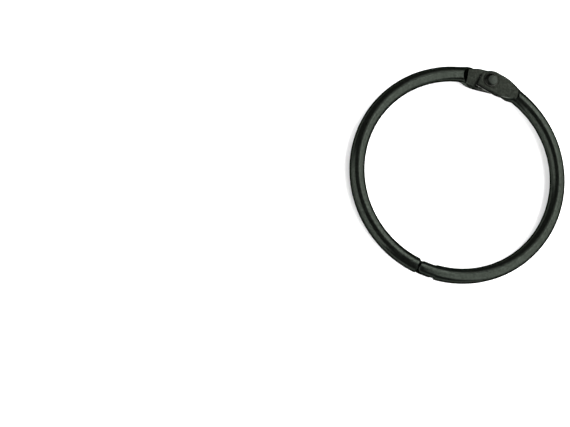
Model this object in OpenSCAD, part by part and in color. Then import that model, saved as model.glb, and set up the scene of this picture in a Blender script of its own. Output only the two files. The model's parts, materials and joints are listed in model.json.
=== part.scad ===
// Hinged binder ring: two half rings of round wire, riveted together through
// flattened lugs at one side and closed by a lapped snap joint at the other.
// Both half rings are the same part, and the upper one is turned over.
// Millimetres. The ring lies in the XY plane with its middle at the origin,
// the rivet on +Y and the closure on -Y.

/* [Ring] */
// Inside diameter of the closed ring
ring_id = 50; // [36:1:80]
// Diameter of the wire
wire_d = 4; // [3.4:0.1:5]

/* [Hinge lugs] */
// Width of a flattened lug
lug_w = 5.6; // [5:0.1:7]
// Thickness of a flattened lug
lug_t = 1.65; // [1.2:0.05:1.7]
// Rivet axis to the square end of the lug
lug_end = 2.8; // [2.2:0.1:3.6]
// Length of the lug's outer end corner, along the lug
corner_len = 3.2; // [1:0.1:3.6]
// Depth of the outer end corner, across the lug
corner_depth = 1.9; // [0.5:0.1:2]
// Bow of the outer end corner, from a chamfer to a round
corner_bow = 1.4; // [1:0.1:2]
// Radius of the lug's inner end corner
lug_inner_r = 0.3; // [0.1:0.1:1]
// Room between the other lug's sweep and the foot of the step
swing_room = 2; // [0.5:0.1:4]
// Lean of the step's wall from upright, in degrees
step_lean = 40; // [0:1:50]
// How far the pressed outer face runs on past the foot of the step
press_run = 2.1; // [1.6:0.1:4]
// Length over which the lug narrows into the wire
neck_len = 4; // [2:0.1:6]
// Gap between the two lugs' mating faces
lug_gap = 0.06; // [0.02:0.01:0.2]

/* [Rivet] */
// Diameter of the shank
shank_d = 3; // [2.4:0.1:3.6]
// Radial clearance of the shank in both lugs
shank_clearance = 0.05; // [0.02:0.01:0.1]
// Diameter of the domed head
head_d = 5; // [4.4:0.1:5.6]
// Height of the straight edge below the dome
head_edge = 0.3; // [0.1:0.1:0.8]
// Height of the dome above its edge
dome_h = 1; // [0.5:0.1:1.8]
// How far the peened end overhangs the shank, on the radius
peen_lip = 0.3; // [0.15:0.05:0.5]
// Height of the peened end above the lug
peen_h = 0.9; // [0.5:0.05:1.4]
// Width of the shoulder round the peened end's flat top
peen_shoulder = 0.5; // [0.2:0.05:0.9]
// Axial play of the peened end over the upper lug
peen_play = 0.03; // [0.01:0.01:0.1]

/* [Closure] */
// Length of the lap joint along the wire
lap_len = 4.8; // [3.5:0.1:7]
// Width of a tongue
tongue_w = 3.4; // [2.6:0.1:3.4]
// Radius of the tongue's end corners
tongue_r = 1.1; // [0.3:0.1:1.3]
// Gap between the two lap faces
lap_gap = 0.2; // [0.1:0.01:0.4]
// Gap between a tongue's tip and the other half's rim
rim_gap = 0.25; // [0.1:0.01:0.5]
// Distance from the tongue's tip to its snap rib
rib_inset = 1.2; // [0.8:0.1:2]
// Height of the snap rib over the lap face
rib_h = 0.07; // [0.02:0.01:0.09]
// Radius of the snap rib's round back
rib_r = 0.4; // [0.2:0.05:0.6]
// Depth of the notch in the lap face, opposite the other half's rib
notch_depth = 0.35; // [0.2:0.05:0.6]
// Clearance of the rib in the notch, on the radius
notch_clearance = 0.1; // [0.05:0.01:0.2]

/* [Hidden] */
$fn = 96;
plating = [0.1, 0.1, 0.095];
wire_r = wire_d / 2;
ring_r = ring_id / 2 + wire_r;
cut = 1;

// Lug frame: u runs from the rivet along the lug, v towards the ring's inside.
lug_reach = sqrt(pow(lug_end, 2) + pow(lug_w / 2, 2));
step_at = lug_reach + swing_room;
press_end = step_at + press_run;
neck_end = press_end + 1;
neck_start = neck_end - neck_len;
lug_tilt = asin(press_end / 2 / ring_r);
outline_steps = 24;

// Closure frame: s runs along the wire from the middle of the lap.
tip_s = lap_len / 2 - rim_gap;
rib_s = tip_s - rib_inset;
closure_at = 270;
mm_deg = 180 / (PI * ring_r);

function clamp01(x) = max(0, min(1, x));

// 1 on the full lug, falling smoothly to 0 where the neck has become wire
function lug_share(u) = (1 + cos(180 * clamp01((u - neck_start) / neck_len))) / 2;

function half_width(u) = wire_r + (lug_w / 2 - wire_r) * lug_share(u);

// The wire's middle line in the lug frame: a circle through the rivet axis
function wire_v(u) =
    sqrt(pow(ring_r, 2) - pow(press_end / 2, 2))
    - sqrt(pow(ring_r, 2) - pow(u - press_end / 2, 2));

function lug_mid(u) = (1 - lug_share(u)) * wire_v(u);

function arc(cu, cv, r, from, to, n = 6) = [
    for (i = [0:n]) let (a = from + (to - from) * i / n) [cu + r * cos(a), cv + r * sin(a)]
];

function neck_side(side) = [
    for (i = [0:outline_steps])
        let (u = neck_start + neck_len * i / outline_steps)
        [u, lug_mid(u) + side * half_width(u)]
];

// The outer end corner: a superellipse that keeps clear of the other half as it swings
function long_corner(outer, n = 14) = [
    for (i = [0:n])
        let (t = 1 - i / n)
        [-lug_end + corner_len * i / n,
         outer + corner_depth * (1 - pow(1 - pow(t, corner_bow), 1 / corner_bow))]
];

function reversed(list) = [for (i = [len(list) - 1:-1:0]) list[i]];

function on_ring(s, v) = [
    (ring_r + v) * cos(closure_at + s * mm_deg),
    (ring_r + v) * sin(closure_at + s * mm_deg)
];

module place_lug() {
    translate([0, ring_r, 0]) rotate([0, 0, 180 + lug_tilt]) children();
}

module wire_run() {
    start = 90 + 2 * asin((step_at - 1) / 2 / ring_r);
    end = closure_at + tip_s * mm_deg;
    rotate([0, 0, start])
        rotate_extrude(angle = end - start) translate([ring_r, 0]) circle(r = wire_r);
}

module lug_blank() {
    outer = -lug_w / 2;
    inner = lug_w / 2;
    place_lug()
        translate([0, 0, -lug_t])
            linear_extrude(height = lug_t - lug_gap / 2)
                polygon(concat(
                    long_corner(outer),
                    neck_side(-1),
                    reversed(neck_side(1)),
                    arc(-lug_end + lug_inner_r, inner - lug_inner_r, lug_inner_r, 90, 180)
                ));
}

// Clears the upper layer for the other lug, up to the leaning step
module upper_relief() {
    top = wire_r + cut;
    floor_z = -lug_gap / 2;
    far = lug_end + cut;
    place_lug()
        rotate([90, 0, 0])
            linear_extrude(height = 2 * lug_w, center = true)
                polygon([
                    [-far, floor_z],
                    [step_at, floor_z],
                    [step_at + (top - floor_z) * tan(step_lean), top],
                    [-far, top]
                ]);
}

// Presses the outer face flat, a little below the wire
module outer_press() {
    depth = wire_r - lug_t + cut;
    place_lug()
        translate([-lug_end - cut, -lug_w, -lug_t - depth])
            cube([lug_end + cut + press_end, 2 * lug_w, depth]);
}

module rivet_hole() {
    translate([0, ring_r, -lug_t - cut])
        cylinder(r = shank_d / 2 + shank_clearance, h = lug_t + 2 * cut);
}

// Plan of the stretch of ring between two places, wider than the wire
module lap_plan(from, to) {
    side = wire_r + cut;
    steps = 8;
    polygon(concat(
        [for (i = [0:steps]) on_ring(from + (to - from) * i / steps, -side)],
        [for (i = [steps:-1:0]) on_ring(from + (to - from) * i / steps, side)]
    ));
}

module tongue_plan() {
    root = -lap_len / 2 - cut;
    half = tongue_w / 2;
    steps = 8;
    run = tip_s - tongue_r - root;
    side = [for (i = [0:steps]) [root + run * i / steps, -half]];
    corner = arc(tip_s - tongue_r, -half + tongue_r, tongue_r, -90, 0);
    edge = concat(side, corner);
    other = [for (p = reversed(edge)) [p[0], -p[1]]];
    polygon([for (p = concat(edge, other)) on_ring(p[0], p[1])]);
}

// Clears the upper layer of the lap and trims the tongue to its width
module lap_relief() {
    root = -lap_len / 2;
    end = lap_len / 2 + cut;
    translate([0, 0, -lap_gap / 2])
        linear_extrude(height = wire_d) lap_plan(root, end);
    translate([0, 0, -wire_d])
        linear_extrude(height = 2 * wire_d)
            difference() {
                lap_plan(root, end);
                tongue_plan();
            }
}

// A bar across the lap, with its axis on the radius of the ring
module cross_bar(s, r, crest_z, length) {
    p = on_ring(s, -length / 2);
    translate([p[0], p[1], crest_z - r])
        rotate([0, 90, closure_at + s * mm_deg])
            cylinder(r = r, h = length);
}

module snap_rib() {
    cross_bar(rib_s, rib_r, rib_h - lap_gap / 2, tongue_w);
}

// The notch lies opposite the other half's rib
module snap_notch() {
    notch_r = rib_r + notch_clearance;
    axis_z = notch_r - notch_depth - lap_gap / 2;
    cross_bar(-rib_s, notch_r, axis_z + notch_r, 2 * wire_d);
}

module half_ring() {
    difference() {
        union() {
            difference() {
                wire_run();
                lap_relief();
            }
            snap_rib();
            lug_blank();
        }
        snap_notch();
        upper_relief();
        outer_press();
        rivet_hole();
    }
}

module lower_half_ring() {
    color(plating) half_ring();
}

module upper_half_ring() {
    color(plating) rotate([0, 180, 0]) half_ring();
}

module hinge_rivet() {
    peen_r = shank_d / 2 + peen_lip;
    peen_z = lug_t + peen_play;
    shoulder_z = peen_h - peen_play - peen_shoulder;
    sphere_r = (pow(head_d / 2, 2) + pow(dome_h, 2)) / (2 * dome_h);
    color(plating) translate([0, ring_r, 0]) {
        translate([0, 0, -lug_t - head_edge])
            cylinder(r = shank_d / 2, h = 2 * lug_t + head_edge + peen_play + shoulder_z);
        translate([0, 0, -lug_t - head_edge])
            cylinder(d = head_d, h = head_edge);
        intersection() {
            translate([0, 0, -lug_t - head_edge - dome_h + sphere_r]) sphere(r = sphere_r);
            translate([0, 0, -lug_t - head_edge - dome_h]) cylinder(d = head_d, h = dome_h);
        }
        translate([0, 0, peen_z]) cylinder(r = peen_r, h = shoulder_z);
        translate([0, 0, peen_z + shoulder_z])
            cylinder(r1 = peen_r, r2 = peen_r - peen_shoulder, h = peen_shoulder);
    }
}

lower_half_ring();
upper_half_ring();
hinge_rivet();
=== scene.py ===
# %% [markdown]
# # A hinged binder ring
# Two half rings of black plated wire turn on one rivet and snap together at the far side. The packed
# CAD model is the frame: it says where the rivet stands, how thick the wire is and which body moves.
# Every piece made here takes its place from that frame and rides on one of its bodies.

# %% Load the frame
import json
import bpy
import numpy as np
from mathutils import Matrix, Vector


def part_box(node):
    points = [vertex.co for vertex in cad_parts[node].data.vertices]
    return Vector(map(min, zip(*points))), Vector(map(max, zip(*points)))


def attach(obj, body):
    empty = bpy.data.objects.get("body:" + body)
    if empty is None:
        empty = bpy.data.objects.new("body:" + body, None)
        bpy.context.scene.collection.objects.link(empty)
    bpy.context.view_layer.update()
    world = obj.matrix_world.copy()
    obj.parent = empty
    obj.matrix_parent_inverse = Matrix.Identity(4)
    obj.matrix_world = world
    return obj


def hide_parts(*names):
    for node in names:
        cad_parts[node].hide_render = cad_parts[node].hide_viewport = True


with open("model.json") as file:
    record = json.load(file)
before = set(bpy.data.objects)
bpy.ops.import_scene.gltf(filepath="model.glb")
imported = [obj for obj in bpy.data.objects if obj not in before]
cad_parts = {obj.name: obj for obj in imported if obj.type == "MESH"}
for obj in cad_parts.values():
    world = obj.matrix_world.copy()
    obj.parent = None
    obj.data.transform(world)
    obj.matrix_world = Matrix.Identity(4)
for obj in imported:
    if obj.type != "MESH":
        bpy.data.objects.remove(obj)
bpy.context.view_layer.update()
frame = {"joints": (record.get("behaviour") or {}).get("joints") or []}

MM = 0.001
hinge = np.array(frame["joints"][0]["pos_m"]) / MM
half_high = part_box("lower_half_ring")[1]
rivet_low, rivet_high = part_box("hinge_rivet")
ring_r = hinge[1]
wire_r = half_high.z / MM
head_z = rivet_low.z / MM
peen_z = rivet_high.z / MM
print(f"ring radius {ring_r:.2f} mm, wire radius {wire_r:.2f} mm, rivet {head_z:.2f} to {peen_z:.2f} mm")

# %% [markdown]
# ## The camera
# The ring is seen from almost straight above, leaning 20 degrees towards the viewer, and turned so that
# the rivet is near the top. A long lens, far away, keeps the perspective weak.
# The view is about 150 mm wide where the ring lies, and the camera looks past the ring, so that its
# middle sits 45 mm to the right of the view's middle and 10 mm above it.

# %% Place the camera
LENS_MM, SENSOR_MM = 120.0, 36.0
VIEW_W_MM = 149.4
RING_AT_MM = (45.37, 10.33)
LEAN = np.radians(20.0)
SEEN_FROM = np.radians(238.6)
ROLL = np.radians(51.5)

distance_mm = LENS_MM / SENSOR_MM * VIEW_W_MM
back = Vector((np.sin(LEAN) * np.cos(SEEN_FROM), np.sin(LEAN) * np.sin(SEEN_FROM), np.cos(LEAN)))
level_up = (Vector((0, 0, 1)) - back * back.z).normalized()
level_right = level_up.cross(back)
right = level_right * np.cos(ROLL) + level_up * np.sin(ROLL)
up = back.cross(right)
centred = Matrix((right, up, back)).transposed()
towards_ring = Vector((RING_AT_MM[0] / distance_mm, RING_AT_MM[1] / distance_mm, -1)).normalized()
swing = towards_ring.rotation_difference(Vector((0, 0, -1))).to_matrix()

camera = bpy.data.objects.new("camera", bpy.data.cameras.new("camera"))
bpy.context.scene.collection.objects.link(camera)
bpy.context.scene.camera = camera
camera.data.lens = LENS_MM
camera.data.sensor_width = SENSOR_MM
camera.data.clip_start, camera.data.clip_end = 0.01, 10
camera.matrix_world = Matrix.Translation(back * distance_mm * MM) @ (centred @ swing).to_4x4()
print(f"camera {distance_mm:.0f} mm away")

# %% [markdown]
# ## The section of the wire
# A half ring starts as round wire. At one end it is pressed into a flat lug with soft edges, at the other
# it is cut to half its height. All of these sections belong to one family: four corner arcs joined by
# straight sides. When the corner radius is the wire's own radius the sides vanish and the section is a
# circle, so one formula can carry the shape from wire to lug without a seam.

# %% The family of sections
POINTS = 160


def outline(outer_top, inner_top, outer_low, inner_low, z_low, z_top, r_top, r_low):
    """Sections as an array (stations, POINTS, 2) of outward offset and height.

    Each outline is a closed path of nine stretches that starts at the middle of the top: straight,
    quarter arc, straight, and so on round. A point's place is its share of the whole path's length:
    on a straight it is start + share * (end - start), on an arc it is centre + radius * direction,
    with the direction turning a quarter turn clockwise over the arc.
    """
    p = np.broadcast_arrays(outer_top, inner_top, outer_low, inner_low, z_low, z_top, r_top, r_low)
    ot, it, ol, il, zl, zt, rt, rl = [np.asarray(a, float) for a in p]
    middle = ((ot - rt) - (it - rt)) / 2
    corners = [
        (middle, zt), (ot - rt, zt), (ot, zt - rt), (ol, zl + rl), (ol - rl, zl),
        (rl - il, zl), (-il, zl + rl), (-it, zt - rt), (rt - it, zt), (middle, zt),
    ]
    knots = np.stack([np.stack(c, -1) for c in corners], 1)
    centres = np.stack([np.stack(c, -1) for c in [
        (ot - rt, zt - rt), (ol - rl, zl + rl), (rl - il, zl + rl), (rt - it, zt - rt)]], 1)
    radii = np.stack([rt, rl, rl, rt], 1)
    lengths = np.linalg.norm(np.diff(knots, axis=1), axis=2)
    lengths[:, 1::2] = radii * np.pi / 2
    ends = np.concatenate([np.zeros((len(ot), 1)), np.cumsum(lengths, 1)], 1)
    target = ends[:, -1:] * np.arange(POINTS) / POINTS
    stretch = (target[:, :, None] >= ends[:, None, 1:-1]).sum(2)
    rows = np.arange(len(ot))[:, None]
    share = (target - ends[rows, stretch]) / np.maximum(lengths[rows, stretch], 1e-9)
    straight = knots[rows, stretch] + share[..., None] * (knots[rows, stretch + 1] - knots[rows, stretch])
    corner = np.clip((stretch - 1) // 2, 0, 3)
    angle = np.pi / 2 * (1 - corner - share)
    turned = np.stack([np.cos(angle), np.sin(angle)], -1)
    curved = centres[rows, corner] + radii[rows, corner][..., None] * turned
    return np.where((stretch % 2 == 1)[..., None], curved, straight)


def ease(x, start, end):
    """0 before start, 1 after end, and half a cosine wave between them."""
    return (1 - np.cos(np.pi * np.clip((x - start) / (end - start), 0, 1))) / 2


def soft_min(a, b, width):
    """The smaller of a and b, rounded over width: their mean less half the length of (a - b, width)."""
    return (a + b - np.sqrt((a - b) ** 2 + width ** 2)) / 2


def quarter_inset(distance, radius):
    """How far a corner of that radius stands back at a distance from the end: r - sqrt(r^2 - (r - d)^2)."""
    short = np.clip(radius - distance, 0, radius)
    return radius - np.sqrt(radius ** 2 - short ** 2)


round_wire = outline(*[np.full(1, wire_r)] * 4, -wire_r, wire_r, wire_r, wire_r)
print("a plain wire section is round to", np.ptp(np.linalg.norm(round_wire, axis=2)).round(6), "mm")

# %% [markdown]
# ## The path of a half ring
# The lug is straight: it lies along the chord from the rivet to the place where the wire leaves it.
# From there the path bends into the ring's circle. The path is a row of stations, close together where
# the shape changes quickly and further apart on the plain wire.

# %% Sizes of the lug, the step and the closure
lug_w, lug_t, lug_end = 5.6, 1.65, 2.8
lug_gap = 0.06
round_from, round_long, round_deep = 0.4, 3.2, 1.9
inner_corner = 0.3
lug_edge, face_edge = 0.28, 0.2
edge_from, edge_to = 3.0, 8.3
flank_from, flank_lean, flank_grows = 2.5, 0.06, 0.5
step_at = np.hypot(lug_end, lug_w / 2) + 2.0
step_lean = np.radians(40)
press_end = step_at + 2.1
neck_end = press_end + 1.0
neck_len = 4.0
shank_r = 1.5
hole_r = shank_r + 0.05
lap_len, rim_gap = 4.8, 0.25
lap_gap = 0.2
tongue_w, tongue_corner = 3.4, 1.1
rib_r, rib_h, rib_inset = 0.4, 0.07, 1.2
notch_r, notch_depth = 0.5, 0.35
tip_s = lap_len / 2 - rim_gap
rib_s = tip_s - rib_inset
lug_tilt = np.arcsin(press_end / 2 / ring_r)
along = np.array([np.cos(np.pi + lug_tilt), np.sin(np.pi + lug_tilt)])
inward = np.array([-along[1], along[0]])
print(f"step at {step_at:.2f} mm, press ends at {press_end:.2f} mm")
print(f"the lug tilts by {np.degrees(lug_tilt):.1f} degrees")

# %% [markdown]
# ## Stations along the path
# Each station has a place and a direction that points away from the ring's middle. The lug's stations are
# laid out along its straight line, and the wire's by the distance round the circle from the closure.

# %% Stations and the path through them


def lug_stations():
    """Distances from the rivet: 1 - cos at the end, then even, and fine from the step to past the press."""
    end = -lug_end + 1.2 * (1 - np.cos(np.linspace(0, np.pi / 2, 20)))
    face = np.arange(end[-1] + 0.1, step_at - 0.05, 0.1)
    foot = np.array([step_at - 0.02])
    slope = np.arange(step_at + 0.005, press_end + 0.9, 0.04)
    rest = np.arange(slope[-1] + 0.1, neck_end, 0.1)
    return np.concatenate([end, face, foot, slope, rest])


def wire_v(u):
    """The ring's circle seen from the lug: sqrt(R^2 - (c/2)^2) - sqrt(R^2 - (u - c/2)^2), c the chord."""
    half = press_end / 2
    return np.sqrt(ring_r ** 2 - half ** 2) - np.sqrt(ring_r ** 2 - (u - half) ** 2)


def lug_path(u):
    """Places and outward directions at distances u: the chord, eased into the circle over the neck."""
    v = ease(u, neck_end - neck_len, neck_end) * wire_v(u)
    place = hinge[:2] + u[:, None] * along + v[:, None] * inward
    fine = 1e-4
    ahead = ease(u + fine, neck_end - neck_len, neck_end) * wire_v(u + fine)
    slope = (ahead - v) / fine
    tangent = along + slope[:, None] * inward
    tangent /= np.linalg.norm(tangent, axis=1)[:, None]
    return place, np.stack([tangent[:, 1], -tangent[:, 0]], 1)


def ring_path(s):
    """Places and outward directions on the circle, s millimetres on from the middle of the lap."""
    angle = 1.5 * np.pi + s / ring_r
    outward = np.stack([np.cos(angle), np.sin(angle)], 1)
    return ring_r * outward, outward


u = lug_stations()
neck_place = lug_path(np.array([neck_end]))[0]
neck_angle = np.arctan2(neck_place[0, 1], neck_place[0, 0]) % (2 * np.pi)
rim_s = -lap_len / 2
wire_start = (neck_angle - 1.5 * np.pi) * ring_r
s_wire = np.linspace(wire_start, rim_s - 0.6, 190)
print(f"{len(u)} stations on the lug, {len(s_wire)} on the wire, {rim_s - wire_start:.1f} mm of wire")

# %% [markdown]
# ## The lug, the step and the wire
# A press flattens the wire to a lug with a level face on each side and rolled edges. On the mating side the
# metal is cut down to the middle of the wire, which leaves a leaning wall shaped like a half moon where the
# round wire begins. Both are made by keeping each point's height within limits that depend on its place.

# %% Sections on the lug


def long_corner(u):
    """The lug's outer corner, rounded about the rivet so that it clears the other half as it swings.

    With t the share of the corner's length still to go, it stands back by deep * (1 - (1 - t^p)^(1/p)),
    a superellipse of power p = 1.4, which is a chamfer that bows a little outwards.
    """
    t = np.clip((round_from - u) / round_long, 0, 1)
    return round_deep * (1 - (1 - t ** 1.4) ** (1 / 1.4))


def flash_line(sections, amount):
    """A bead where the metal spread between the tools, out by 0.13 * exp(-((z - z0) / 0.11)^2).

    It is times the amount at each station, and times tanh(offset / 0.6), which sends it outwards on both
    flanks and leaves the middle of the lug alone.
    """
    z = sections[..., 1]
    bead = 0.13 * np.exp(-((z + 0.19) / 0.11) ** 2) * amount[:, None]
    sections[..., 0] += bead * np.tanh(sections[..., 0] / 0.6)
    return sections


def lug_sections(u):
    """Sections on the lug: its half width eases from lug_w / 2 to the wire's radius over the neck.

    The rolled edge grows from lug_edge to the wire's radius between edge_from and edge_to. The flanks lean
    in towards the mating face, by flank_lean at first and flank_grows more at the step.
    """
    share = 1 - ease(u, neck_end - neck_len, neck_end)
    half = wire_r + (lug_w / 2 - wire_r) * share
    from_end = u + lug_end
    outer = half - long_corner(u)
    inner = half - quarter_inset(from_end, inner_corner)
    edge_in = quarter_inset(from_end, face_edge)
    z_low = -(wire_r + (lug_t - wire_r) * share) + edge_in
    r_low = lug_edge + (wire_r - lug_edge) * ease(u, edge_from, edge_to)
    flat = u < step_at
    waist = flank_lean + flank_grows * ease(u, flank_from, step_at)
    top_half = np.where(flat, 0, wire_r + 0.04 * share)
    outer_top = np.where(flat, outer - waist, top_half)
    inner_top = np.where(flat, inner - waist, top_half)
    z_top = np.where(flat, -lug_gap / 2 - edge_in, wire_r)
    r_top = np.where(flat, face_edge, wire_r)
    sections = outline(outer_top, inner_top, outer, inner, z_low, z_top, r_top, r_low)
    return flash_line(sections, ease(u, step_at, step_at - 0.8))


print("the lug's widest section is", np.ptp(lug_sections(u)[..., 0], axis=1).max().round(2), "mm across")

# %% [markdown]
# ## The step and the pressed face
# Two flat tools finish the lug. One cuts the mating side down and leaves the leaning wall, the other presses
# the outer side a little below the wire. A soft minimum joins each limit to the shape with a tiny round.

# %% Cut the step and press the face


def cut_and_press(points):
    """Heights held under the leaning step and over the pressed face, from each point's distances.

    u is the distance along the lug and v across it. The ceiling rises from the step at the wall's lean.
    The press stops along a parabola, press_end + 0.34 - 0.22 * (v - 0.4)^2, since the tool's own edge is
    a little rounded. Past it the floor falls away by 1.6 for each millimetre, and along it a crease
    0.1 * exp(-((u - edge) / 0.1)^2) is pressed in.
    """
    u_here = (points[..., :2] - hinge[:2]) @ along
    v_here = (points[..., :2] - hinge[:2]) @ inward
    press_edge = press_end + 0.34 - 0.22 * (v_here - 0.4) ** 2
    ceiling = -lug_gap / 2 + np.maximum(0, u_here - step_at) / np.tan(step_lean)
    crease = 0.1 * np.exp(-((u_here - press_edge) / 0.1) ** 2)
    base = -lug_t - 1.6 * np.maximum(0, u_here - press_edge) + crease
    z = soft_min(points[..., 2], ceiling, 0.02)
    points[..., 2] = -soft_min(-z, -base, 0.02)
    return points


def carry(sections, place, outward):
    """A section's offset runs along the outward direction and its height along Z."""
    xy = place[:, None] + sections[..., :1] * outward[:, None]
    return np.concatenate([xy, sections[..., 1:]], 2)


lug_rings = cut_and_press(carry(lug_sections(u), *lug_path(u)))
print("lug spans", np.ptp(lug_rings.reshape(-1, 3), axis=0).round(2), "mm")

# %% [markdown]
# ## The closure
# The last few millimetres are cut to half height and trimmed narrower, so that the two halves lap. The rim
# left by the cut has a small chamfer. A low rib near the tip meets a notch near the other half's rim.

# %% The tongue end of a half ring


def tongue_stations():
    """Distances from the middle of the lap: the foot of the rim, the even face, and 1 - cos at the tip."""
    face = np.arange(rim_s + 0.06, tip_s - tongue_corner, 0.06)
    tip = tip_s - tongue_corner * (1 - np.sin(np.linspace(0, np.pi / 2, 18)))
    return np.concatenate([[rim_s, rim_s + 0.02], face, tip])


def rim_sections():
    """The round wire just before the cut, and its chamfered edge at the cut."""
    chamfer = np.array([0.0, 0.0, 0.05, 0.13, 0.22])
    top = wire_r - chamfer
    return outline(top, top, wire_r, wire_r, -wire_r, top, top, wire_r)


def tongue_sections(s):
    """A D on its back: half width tongue_w / 2, a level lap face, and low corners of radius 1.6.

    The width and the height close in towards the tip, as two quarter rounds, and the corners with them.
    """
    from_tip = tip_s - s
    half = tongue_w / 2 - quarter_inset(from_tip, tongue_corner)
    edge = quarter_inset(from_tip, 0.2)
    low_r = np.minimum(1.6, half - 0.02)
    return outline(half, half, half, half, -wire_r + edge * 2, -lap_gap / 2 - edge, 0.14, low_r)


def snap_features(points, s):
    """The lap face rises by a circle's cap at the rib and is held under a circle's hollow at the notch."""
    cap = np.sqrt(np.maximum(rib_r ** 2 - (s - rib_s) ** 2, 0)) - (rib_r - rib_h)
    level = -lap_gap / 2
    on_face = points[..., 2] > level - 0.03
    points[..., 2] += np.where(on_face, np.maximum(cap, 0)[:, None], 0)
    hollow = np.sqrt(np.maximum(notch_r ** 2 - (s + rib_s) ** 2, 0))
    axis = level - notch_depth + notch_r
    limit = np.where(axis - hollow < level, axis - hollow, 9.0)
    points[..., 2] = np.minimum(points[..., 2], limit[:, None])
    return points


s_rim = rim_s - np.array([0.4, 0.24, 0.2, 0.1, 0.0])
s_tongue = tongue_stations()
rim_rings = carry(rim_sections(), *ring_path(s_rim))
wire_rings = carry(np.repeat(round_wire, len(s_wire), 0), *ring_path(s_wire))
tongue_rings = snap_features(carry(tongue_sections(s_tongue), *ring_path(s_tongue)), s_tongue)
half_grid = np.concatenate([lug_rings, wire_rings, rim_rings, tongue_rings])
print("a half ring has", half_grid.shape[0], "stations of", half_grid.shape[1], "points")

# %% [markdown]
# ## From grid to mesh
# The stations, one after another, are the rows of a grid whose columns run round the wire. Neighbouring
# points make the faces, the last column joins the first, and one face closes each end, so the mesh holds
# a volume. Its sign tells whether the faces point outwards.

# %% Turn the grid into a mesh


def tube_faces(stations, around):
    """Four neighbours make a quad, the last column joins the first, and one face closes each end."""
    index = np.arange(stations * around).reshape(stations, around)
    a, b = index[:-1], index[1:]
    quads = np.stack([a, b, np.roll(b, -1, 1), np.roll(a, -1, 1)], -1).reshape(-1, 4)
    return quads.tolist() + [index[0].tolist(), index[-1][::-1].tolist()]


def soften(mesh, sharp=35):
    """Smooth shading, except on edges where two faces meet at more than sharp degrees."""
    mesh.polygons.foreach_set("use_smooth", np.ones(len(mesh.polygons), bool))
    mesh.set_sharp_from_angle(angle=np.radians(sharp))


def make_object(name, points, faces):
    """A mesh object at the origin, in metres, from points in millimetres."""
    mesh = bpy.data.meshes.new(name)
    mesh.from_pydata((points * MM).tolist(), [], faces)
    mesh.validate()
    soften(mesh)
    mesh.update()
    obj = bpy.data.objects.new(name, mesh)
    bpy.context.scene.collection.objects.link(obj)
    return obj


def signed_volume(obj):
    """Six times a mesh's volume is the sum over triangles of a . (b x c); positive if faces look out."""
    mesh = obj.data
    mesh.calc_loop_triangles()
    corners = np.empty(len(mesh.loop_triangles) * 3, np.int32)
    mesh.loop_triangles.foreach_get("vertices", corners)
    co = np.empty(len(mesh.vertices) * 3)
    mesh.vertices.foreach_get("co", co)
    a, b, c = co.reshape(-1, 3)[corners.reshape(-1, 3)].transpose(1, 0, 2)
    return np.einsum("ij,ij->i", a, np.cross(b, c)).sum() / 6 / MM ** 3


print("a half ring's grid makes", len(tube_faces(*half_grid.shape[:2])), "faces")

# %% [markdown]
# ## Drilling the lug
# Each lug has a round hole for the rivet. It is drilled after the lug is pressed, as in the workshop, so
# the pressed shape stays simple and the hole's edge stays sharp.

# %% The drill


def drill(obj, radius):
    """Takes the rivet's bore out of a lug: a many-sided prism along the rivet, as a Boolean, applied."""
    sides = 96
    angle = np.linspace(0, 2 * np.pi, sides, endpoint=False)
    circle = hinge[:2] + radius * np.stack([np.cos(angle), np.sin(angle)], 1)
    levels = np.array([-4.0, 4.0])
    prism = np.concatenate([np.column_stack([circle, np.full(sides, z)]) for z in levels])
    cutter = make_object("drill", prism, tube_faces(2, sides))
    if signed_volume(cutter) < 0:
        cutter.data.flip_normals()
    cut = obj.modifiers.new("bore", "BOOLEAN")
    cut.operation, cut.solver, cut.object = "DIFFERENCE", "EXACT", cutter
    done = bpy.data.meshes.new_from_object(obj.evaluated_get(bpy.context.evaluated_depsgraph_get()))
    obj.modifiers.clear()
    obj.data = done
    soften(done)
    bpy.data.objects.remove(cutter)


print(f"the drill is {2 * hole_r:.1f} mm wide, the rivet's shank {2 * shank_r:.1f} mm")

# %% [markdown]
# ## Tool marks, wear and painted light
# The punch that peens the rivet leaves a faint ring on the lug round it. The pressed and cut faces hold
# the plating less well than drawn wire, so they are duller. Where the pressing tools met, the metal has a
# thin raised line, and on the lug that lies on top that line is painted bright: a painted highlight, with
# some rubbed wear. The crease round each end of the rivet is painted darker: painted shade, with some grime.

# %% Tool marks and wear
TOOL_RING_R = 2.15


def tool_ring(points, radius=TOOL_RING_R, depth=0.035, width=0.09):
    """A ring pressed into the outer face: depth times a bell curve of the distance from the radius."""
    away = np.linalg.norm(points[..., :2] - hinge[:2], axis=-1)
    on_face = points[..., 2] < -lug_t + 0.05
    points[..., 2] += np.where(on_face, depth * np.exp(-((away - radius) / width) ** 2), 0)
    return points


def store(obj, name, values):
    """One number for each of the mesh's points, which the plating reads by its name."""
    mark = obj.data.attributes.new(name, "FLOAT", "POINT")
    mark.data.foreach_set("value", values.astype(np.float32))


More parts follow.
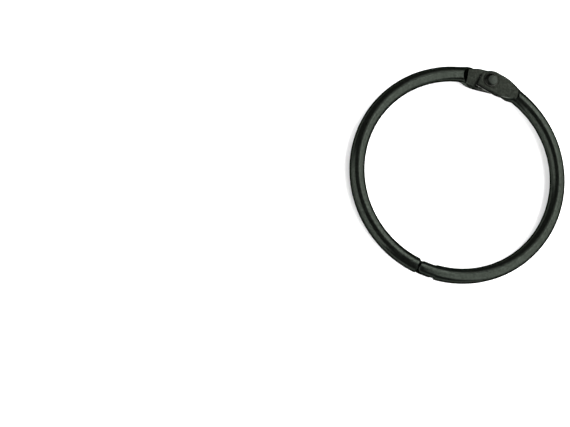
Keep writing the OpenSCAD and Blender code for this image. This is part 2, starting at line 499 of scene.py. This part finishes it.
def mark_faces(obj, side, highlight_and_rub, foot_r):
    """Stores pressed, high on the pressed, mating and lap faces, and wear_and_painted_highlight, high on the
    lug's edges.

    pressed is 0.6 on those faces and rises to 1 in a bell curve of the distance from the rivet's axis
    less foot_r, which is the crease round the rivet's end, darkened there as painted shade with some grime.

    wear_and_painted_highlight is a bell curve of the height, exp(-((z - z0) / width)^2), times
    highlight_and_rub round the flash line and, weaker, round the edge of the pressed face, on points well to
    the side of the lug's middle or at its end. Towards the step the flash line's wear fades out. These pale
    lines are painted highlights where the edges catch the light, with some edge wear.

    side is 1 for the half as made and -1 for the one turned over, whose x and z are both reversed.
    """
    co = np.empty(len(obj.data.vertices) * 3)
    obj.data.vertices.foreach_get("co", co)
    co = co.reshape(-1, 3) / MM * np.array([side, 1, side])
    u_here = (co[:, :2] - hinge[:2]) @ along
    v_here = (co[:, :2] - hinge[:2]) @ inward
    on_lug = (co[:, 1] > 0) & (u_here < press_end + 0.4)
    outer = on_lug & (co[:, 2] < -lug_t + 0.06)
    mating = on_lug & (u_here < step_at + 0.02) & (co[:, 2] > -lug_gap / 2 - 0.06)
    near_lap = (co[:, 1] < 0) & (co[:, 0] > rim_s)
    lap = near_lap & (np.abs(co[:, 2] + lap_gap / 2) < 0.1)
    # painted shade, with some grime: the crease round the rivet's foot is darkened
    crease = outer * np.exp(-((np.hypot(u_here, v_here) - foot_r) / 0.18) ** 2)
    store(obj, "pressed", np.maximum(0.6 * (outer | mating | lap), crease))
    # painted highlight, with some edge wear: pale lines on the flash line and the pressed face's edge
    edge_highlight_and_wear = on_lug & ((np.abs(v_here) > 1.9) | (u_here < -lug_end + 0.25))
    flash = highlight_and_rub * np.exp(-((co[:, 2] + 0.19) / 0.1) ** 2) * (1 - ease(u_here, 2.0, 4.5))
    shoulder = 0.2 * np.exp(-((co[:, 2] + lug_t - 0.11) / 0.045) ** 2)
    store(obj, "wear_and_painted_highlight", edge_highlight_and_wear * np.maximum(flash, shoulder))


print(f"the tool ring lies {TOOL_RING_R - shank_r:.2f} mm outside the rivet's shank")

# %% [markdown]
# ## Two half rings from one grid
# Both halves are the same part. The upper one is turned half a turn about Y, so its lug comes to lie on the
# lower one's lug, and its tongue on the lower one's tongue.

# %% The two half rings


def half_ring(name, turned_over):
    """The half ring as made, or turned half a turn about Y, which sends x to -x and z to -z."""
    points = half_grid.copy()
    if turned_over:
        points = tool_ring(points) * np.array([-1, 1, -1])
    obj = make_object(name, points.reshape(-1, 3), tube_faces(*half_grid.shape[:2]))
    if signed_volume(obj) < 0:
        obj.data.flip_normals()
    drill(obj, hole_r)
    # the lug on top gets much the stronger painted highlight, with some wear, along its flash line
    if turned_over:
        mark_faces(obj, side=-1, highlight_and_rub=1.5, foot_r=1.98)
    else:
        mark_faces(obj, side=1, highlight_and_rub=0.15, foot_r=2.62)
    print(name, len(obj.data.polygons), "faces,", round(signed_volume(obj), 1), "cubic mm")
    return obj


lower = half_ring("lower_half_ring_pressed", False)
upper = half_ring("upper_half_ring_pressed", True)

# %% [markdown]
# ## The rivet
# A solid rivet has a smooth domed head on one side. Its other end is peened over the lug: a tool spreads it
# into a low button with a rolled shoulder and an almost flat top. Both ends are one profile turned about
# the rivet's axis, with the peened end a little out of round.

# %% The rivet's profile, turned


def arc(centre, radius, start, end, count):
    """Points at centre + radius * (cos, sin), the angle running evenly from start to end in degrees."""
    a = np.radians(np.linspace(start, end, count))
    return np.column_stack([centre[0] + radius[0] * np.cos(a), centre[1] + radius[1] * np.sin(a)])


def rivet_profile():
    """Radius and height from the dome's middle to the peened top's middle."""
    head_r, head_edge, peen_r, top_r = 2.5, 0.3, 1.8, 1.3
    dome_h = -lug_t - head_edge - head_z
    sphere = (head_r ** 2 + dome_h ** 2) / (2 * dome_h)
    reach = np.degrees(np.arcsin((head_r - 0.12) / sphere))
    dome = arc((0, head_z + sphere), (sphere, sphere), -89.2, reach - 90, 28)
    rim = arc((head_r - 0.16, -lug_t - head_edge + 0.12), (0.16, 0.16), -35, 0, 6)
    under = np.array([[head_r, -lug_t - 0.05], [head_r - 0.05, -lug_t], [shank_r, -lug_t]])
    shank = np.array([[shank_r, lug_t + 0.03], [peen_r - 0.08, lug_t + 0.03]])
    flange = arc((peen_r - 0.14, lug_t + 0.15), (0.14, 0.12), -25, 80, 7)
    waist = arc((peen_r - 0.1, lug_t + 0.55), (0.34, 0.28), 262, 185, 8)
    edge = arc((top_r - 0.08, peen_z - 0.12), (0.08, 0.08), 5, 86, 7)
    crown_r = np.linspace(top_r - 0.1, 0.02, 14)
    crown = np.column_stack([crown_r, peen_z - 0.04 * (crown_r / top_r) ** 2])
    return np.concatenate([dome, rim, under, shank, flange, waist, edge, crown])


def turn(profile, steps):
    """Each profile point goes round the rivet's axis; above the lug its radius wanders with the angle.

    The wander is two cosine waves, with two and three crests. Towards the top the end also leans aside, by
    0.3 mm in x and -0.1 mm in y, because the last blow landed off-centre.
    """
    angle = np.linspace(0, 2 * np.pi, steps, endpoint=False)
    radius, z = profile[:, :1], profile[:, 1:]
    peened = np.clip((z - lug_t) / 0.3, 0, 1)
    wander = 1 + peened * (0.012 * np.cos(2 * angle + 0.6) + 0.008 * np.cos(3 * angle + 2.0))
    hammered = ease(z, lug_t + 0.25, peen_z - 0.05)
    x = hinge[0] + 0.3 * hammered + radius * wander * np.cos(angle)
    y = hinge[1] - 0.1 * hammered + radius * wander * np.sin(angle)
    return np.stack([x, y, np.broadcast_to(z, x.shape)], -1)


def mark_rivet(obj, z):
    """Stores pressed, high on the peened end's side, and wear_and_painted_highlight, a bell curve round its
    lower rim, which is a painted highlight with some wear.
    """
    side = (z > lug_t) & (z < peen_z - 0.05)
    store(obj, "pressed", 0.7 * side)
    # painted highlight, with some wear: a pale arc round the lower rim of the peened end
    store(obj, "wear_and_painted_highlight", 0.35 * side * np.exp(-((z - lug_t - 0.2) / 0.05) ** 2))


turned = turn(rivet_profile(), 128)
rivet = make_object("hinge_rivet_peened", turned.reshape(-1, 3), tube_faces(*turned.shape[:2]))
mark_rivet(rivet, turned[..., 2].ravel())
if signed_volume(rivet) < 0:
    rivet.data.flip_normals()
print("rivet", round(signed_volume(rivet), 1), "cubic mm")

# %% [markdown]
# ## Black plating
# The steel is plated black: dark and half glossy, with a fine mottle where light catches it. The wire was
# drawn through a die before it was bent, so faint lines run along it. A noise whose coordinates are the
# distance from the ring's middle, the height and the angle, stretched along the angle, draws those lines.

# %% Noise, coordinates and bump


def noise(nodes, links, vector, scale, detail):
    """A noise texture on a vector; its value stays near one half and its features are 1 / scale wide."""
    node = nodes.new("ShaderNodeTexNoise")
    node.inputs["Scale"].default_value = scale
    node.inputs["Detail"].default_value = detail
    links.new(vector, node.inputs["Vector"])
    return node.outputs["Fac"]


def ring_coordinates(nodes, links, place):
    """(distance from the Z axis, height, angle about Z times a small length), from Object coordinates."""
    parts = nodes.new("ShaderNodeSeparateXYZ")
    links.new(place, parts.inputs["Vector"])
    flat = nodes.new("ShaderNodeCombineXYZ")
    links.new(parts.outputs["X"], flat.inputs["X"])
    links.new(parts.outputs["Y"], flat.inputs["Y"])
    radius = nodes.new("ShaderNodeVectorMath")
    radius.operation = "LENGTH"
    links.new(flat.outputs["Vector"], radius.inputs[0])
    angle = nodes.new("ShaderNodeMath")
    angle.operation = "ARCTAN2"
    links.new(parts.outputs["Y"], angle.inputs[0])
    links.new(parts.outputs["X"], angle.inputs[1])
    turned_by = nodes.new("ShaderNodeMath")
    turned_by.operation = "MULTIPLY"
    turned_by.inputs[1].default_value = ANGLE_LENGTH
    links.new(angle.outputs["Value"], turned_by.inputs[0])
    joined = nodes.new("ShaderNodeCombineXYZ")
    links.new(radius.outputs["Value"], joined.inputs["X"])
    links.new(parts.outputs["Z"], joined.inputs["Y"])
    links.new(turned_by.outputs["Value"], joined.inputs["Z"])
    return joined.outputs["Vector"]


def remap(nodes, links, value, low, high):
    """Stretches a noise's usual range, 0.35 to 0.65, over low to high."""
    node = nodes.new("ShaderNodeMapRange")
    node.inputs["From Min"].default_value, node.inputs["From Max"].default_value = 0.35, 0.65
    node.inputs["To Min"].default_value, node.inputs["To Max"].default_value = low, high
    links.new(value, node.inputs["Value"])
    return node.outputs["Result"]


def add_bump(nodes, links, height, distance, strength, under=None):
    """A bump of the given depth in metres, laid over another bump when there is one."""
    node = nodes.new("ShaderNodeBump")
    node.inputs["Strength"].default_value = strength
    node.inputs["Distance"].default_value = distance
    links.new(height, node.inputs["Height"])
    if under is not None:
        links.new(under, node.inputs["Normal"])
    return node.outputs["Normal"]


LINE_SCALE, ANGLE_LENGTH = 4500, 0.0016
print(f"the drawing lines are about {ring_r / (LINE_SCALE * ANGLE_LENGTH):.1f} mm long")

# %% [markdown]
# ## The plating's finish
# Plated steel is a metal whose colour is nearly black, so it shows the room's lights and little else. The
# colour is uneven, in blotches about half a millimetre wide with a finer mottle between them, and wider
# patches change how sharply it reflects. The marks stored on the pieces dull the pressed faces, paint
# shade into the crease round the rivet, partly as grime, and paint pale highlights on the edges, partly as
# wear.

# %% The plating's colour
BLOTCH_SCALE = 2200


def stored(nodes, name):
    """A value that the mesh's points carry."""
    node = nodes.new("ShaderNodeAttribute")
    node.attribute_name = name
    return node.outputs["Fac"]


def plating_colour(nodes, links, mottle, blotches, patches, dark, light):
    """Dark to light with blotches and mottle, times a dull tone where pressed and a painted shade in the
    crease round the rivet, and pale steel as painted highlight and wear.
    """
    grain = nodes.new("ShaderNodeMix")
    grain.data_type = "FLOAT"
    grain.inputs["Factor"].default_value = 0.35
    links.new(blotches, grain.inputs[2])
    links.new(mottle, grain.inputs[3])
    tint = nodes.new("ShaderNodeValToRGB")
    tint.color_ramp.elements[0].position, tint.color_ramp.elements[1].position = 0.37, 0.63
    tint.color_ramp.elements[0].color = (*dark, 1)
    tint.color_ramp.elements[1].color = (*light, 1)
    links.new(grain.outputs[0], tint.inputs["Fac"])
    # the dull tone also paints shade into the crease round the rivet, where pressed rises to 1
    dull_and_painted_shade = nodes.new("ShaderNodeMix")
    dull_and_painted_shade.data_type, dull_and_painted_shade.blend_type = "RGBA", "MULTIPLY"
    dull_and_painted_shade.inputs[7].default_value = (0.333, 0.3, 0.283, 1)
    links.new(stored(nodes, "pressed"), dull_and_painted_shade.inputs["Factor"])
    links.new(tint.outputs["Color"], dull_and_painted_shade.inputs[6])
    highlight_and_wear_share = nodes.new("ShaderNodeMath")
    highlight_and_wear_share.operation = "MULTIPLY"
    links.new(stored(nodes, "wear_and_painted_highlight"), highlight_and_wear_share.inputs[0])
    links.new(remap(nodes, links, patches, 0.5, 1.0), highlight_and_wear_share.inputs[1])
    # pale steel: painted highlight along the edges, with some wear
    steel_highlight_and_wear = nodes.new("ShaderNodeMix")
    steel_highlight_and_wear.data_type = "RGBA"
    steel_highlight_and_wear.inputs[7].default_value = (0.16, 0.165, 0.15, 1)
    links.new(highlight_and_wear_share.outputs["Value"], steel_highlight_and_wear.inputs["Factor"])
    links.new(dull_and_painted_shade.outputs[2], steel_highlight_and_wear.inputs[6])
    return steel_highlight_and_wear.outputs[2]


print(f"blotches are about {1000 / BLOTCH_SCALE:.2f} mm wide")

# %% [markdown]
# ## The whole material
# Roughness follows the wide patches, and rises where a face is pressed. Three bumps lie on each other: low
# waves from the bending, the mottle, and on the wire the drawing lines. The rivet was never drawn, so it
# goes without the lines.

# %% The plating material


def plating(name, dark, light, smooth, rough, drawn):
    """Metal with the plating's colour, rougher in patches and where pressed; two bumps, three if drawn."""
    mat = bpy.data.materials.new(name)
    mat.use_nodes = True
    nodes, links = mat.node_tree.nodes, mat.node_tree.links
    shader = nodes["Principled BSDF"]
    shader.inputs["Metallic"].default_value = 1.0
    shader.inputs["Specular Tint"].default_value = (0.3, 0.3, 0.3, 1)
    place = nodes.new("ShaderNodeTexCoord").outputs["Object"]
    mottle = noise(nodes, links, place, 4600, 3)
    blotches = noise(nodes, links, place, BLOTCH_SCALE, 3)
    patches = noise(nodes, links, place, 900, 2)
    waves = noise(nodes, links, place, 300, 1)
    colour = plating_colour(nodes, links, mottle, blotches, patches, dark, light)
    links.new(colour, shader.inputs["Base Color"])
    rougher = nodes.new("ShaderNodeMath")
    rougher.operation = "MULTIPLY_ADD"
    rougher.inputs[1].default_value = 0.167
    links.new(stored(nodes, "pressed"), rougher.inputs[0])
    links.new(remap(nodes, links, patches, smooth, rough), rougher.inputs[2])
    links.new(rougher.outputs["Value"], shader.inputs["Roughness"])
    normal = add_bump(nodes, links, waves, 0.00003, 0.25)
    normal = add_bump(nodes, links, mottle, 0.00001, 0.4, normal)
    if drawn:
        lines = noise(nodes, links, ring_coordinates(nodes, links, place), LINE_SCALE, 2)
        normal = add_bump(nodes, links, lines, 0.00001, 0.3, normal)
    links.new(normal, shader.inputs["Normal"])
    return mat


black = plating("black_plating", (0.0074, 0.0088, 0.0071), (0.0178, 0.0208, 0.0174), 0.15, 0.26, True)
black_rivet = plating("rivet_plating", (0.0072, 0.0084, 0.007), (0.0134, 0.0152, 0.013), 0.15, 0.24, False)
for obj, mat in ((lower, black), (upper, black), (rivet, black_rivet)):
    obj.data.materials.clear()
    obj.data.materials.append(mat)
    print(obj.name, "is finished in", mat.name)

# %% [markdown]
# ## Fastening the pieces
# Each piece rides on the CAD body that it moves with and stands in for the CAD solid of the same part.
# The rivet stays with the lower half.

# %% Fasten the pieces to the frame
for obj, node, body, slot in (
    (lower, "lower_half_ring", "lower_half", "black_plating"),
    (upper, "upper_half_ring", "upper_half", "black_plating"),
    (rivet, "hinge_rivet", "lower_half", "rivet_plating"),
):
    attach(obj, body)
    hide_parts(node)

# %% [markdown]
# ## The floor
# The ring lies on its rivet head and on the wire at the closure, so the floor is tilted by a degree to
# touch both. The floor is pale, and wide enough that no edge of it shows in the metal.

# %% The floor
floor_tilt = (-wire_r - head_z) / (2 * ring_r)
reach_mm = 3000.0
grid = np.array([[-1, -1], [1, -1], [1, 1], [-1, 1]]) * reach_mm
heights = -wire_r - floor_tilt * (grid[:, 1] + ring_r) - 0.02
floor = make_object("floor", np.column_stack([grid, heights]), [[0, 1, 2, 3]])
pale = bpy.data.materials.new("pale_floor")
pale.use_nodes = True
pale.node_tree.nodes["Principled BSDF"].inputs["Base Color"].default_value = (0.97, 0.97, 0.97, 1)
pale.node_tree.nodes["Principled BSDF"].inputs["Roughness"].default_value = 0.9
floor.data.materials.append(pale)

print(f"the floor tilts by {np.degrees(np.arctan(floor_tilt)):.1f} degrees")

# %% [markdown]
# ## The lights
# Black metal shows little but reflections, so the lights are wide panels. One fills the whole right side
# down to the floor, a smaller one stands at the lower left, and a weak one hangs beyond the top of the
# ring. The rest of the room is dim. The wire's bands are these panels, drawn out along the curve.

# %% The lights


def soft_box(name, turn_deg, rise_deg, width, height, power, away=0.7):
    """A lit panel facing the ring: it stands turn_deg round from +X and rise_deg above the floor."""
    turn, rise = np.radians(turn_deg), np.radians(rise_deg)
    place = Vector((np.cos(turn) * np.cos(rise), np.sin(turn) * np.cos(rise), np.sin(rise)))
    lamp = bpy.data.lights.new(name, "AREA")
    lamp.shape, lamp.size, lamp.size_y, lamp.energy = "RECTANGLE", width, height, power
    obj = bpy.data.objects.new(name, lamp)
    bpy.context.scene.collection.objects.link(obj)
    obj.matrix_world = Matrix.Translation(place * away) @ place.to_track_quat("Z", "Y").to_matrix().to_4x4()
    return obj


soft_box("large_panel", turn_deg=7, rise_deg=36, width=1.75, height=1.3, power=39)
soft_box("small_panel", turn_deg=213, rise_deg=19, width=0.85, height=0.75, power=8)
soft_box("top_panel", turn_deg=74, rise_deg=56, width=0.45, height=0.5, power=1.5)
world = bpy.data.worlds.new("studio")
bpy.context.scene.world = world
world.use_nodes = True
world.node_tree.nodes["Background"].inputs["Color"].default_value = (1, 1, 1, 1)
world.node_tree.nodes["Background"].inputs["Strength"].default_value = 0.45
bpy.context.scene.view_settings.view_transform = "Standard"
